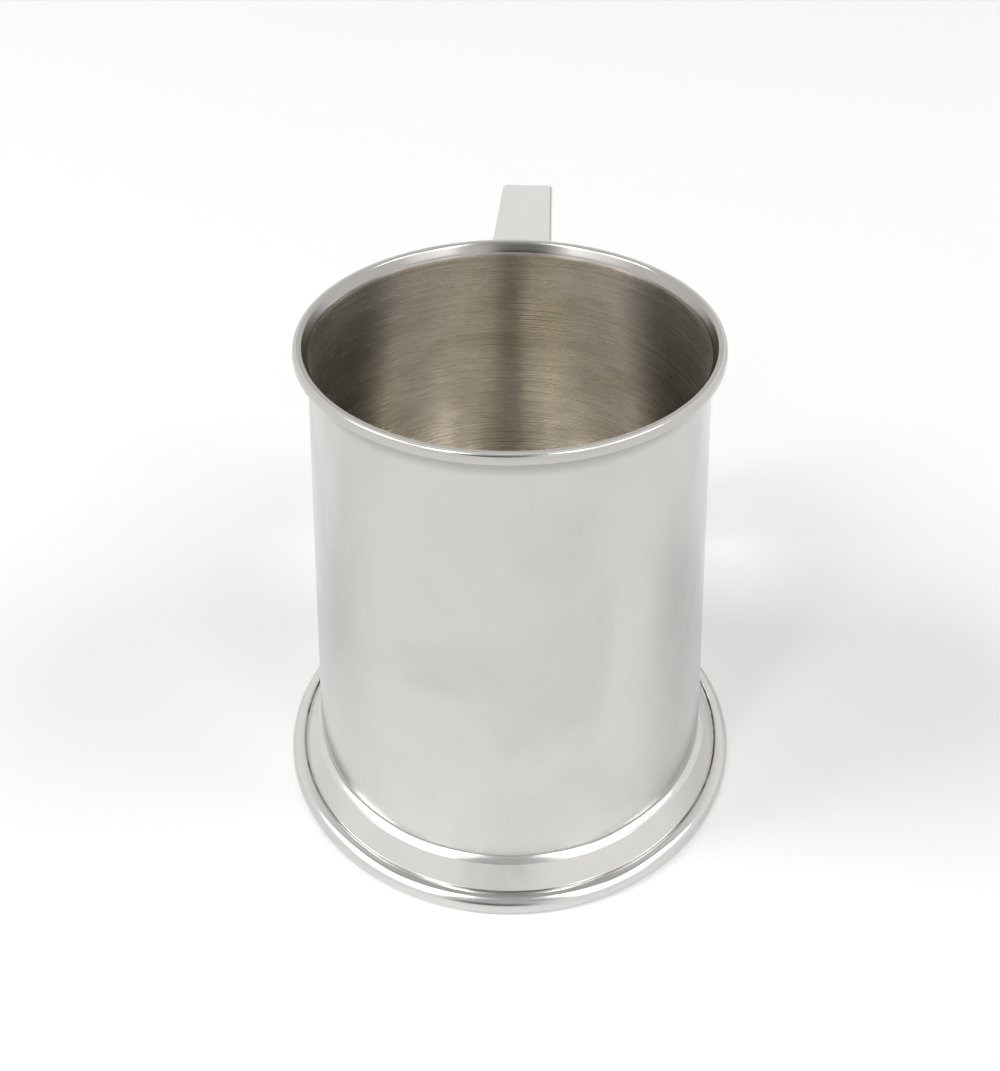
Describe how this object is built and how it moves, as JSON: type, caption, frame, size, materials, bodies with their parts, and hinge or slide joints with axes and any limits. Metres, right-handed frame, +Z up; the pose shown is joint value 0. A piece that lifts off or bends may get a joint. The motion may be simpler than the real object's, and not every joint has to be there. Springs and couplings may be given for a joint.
{
  "type": "tankard",
  "caption": "Open tankard with a tapering drum, flared wired lip, moulded spread foot and hollow bracket handle, for holding and drinking beer.",
  "frame": {"origin": "on the table, at the middle of the rectangle that the foot and the handle together cover", "axes": "+Z up through the mouth, +Y from the drum towards the handle, +X to the right seen from the front"},
  "size_m": [0.1134, 0.1481, 0.118],
  "materials": {
    "drum_silver": "polished outside, satin inside",
    "base_silver": "satin",
    "rim_silver": "polished",
    "foot_silver": "polished, tarnished in the quirks",
    "handle_silver": "polished"
  },
  "bodies": {
    "root": {"drum": "drum_silver", "base_plate": "base_silver", "rim_wire": "rim_silver", "foot_bead": "foot_silver", "foot_skirt": "foot_silver", "foot_wire": "foot_silver", "handle_outer_strap": "handle_silver", "handle_inner_strap": "handle_silver", "handle_left_side": "handle_silver", "handle_right_side": "handle_silver", "handle_upper_pad": "handle_silver", "handle_lower_pad": "handle_silver"}
  },
  "joints": []
}
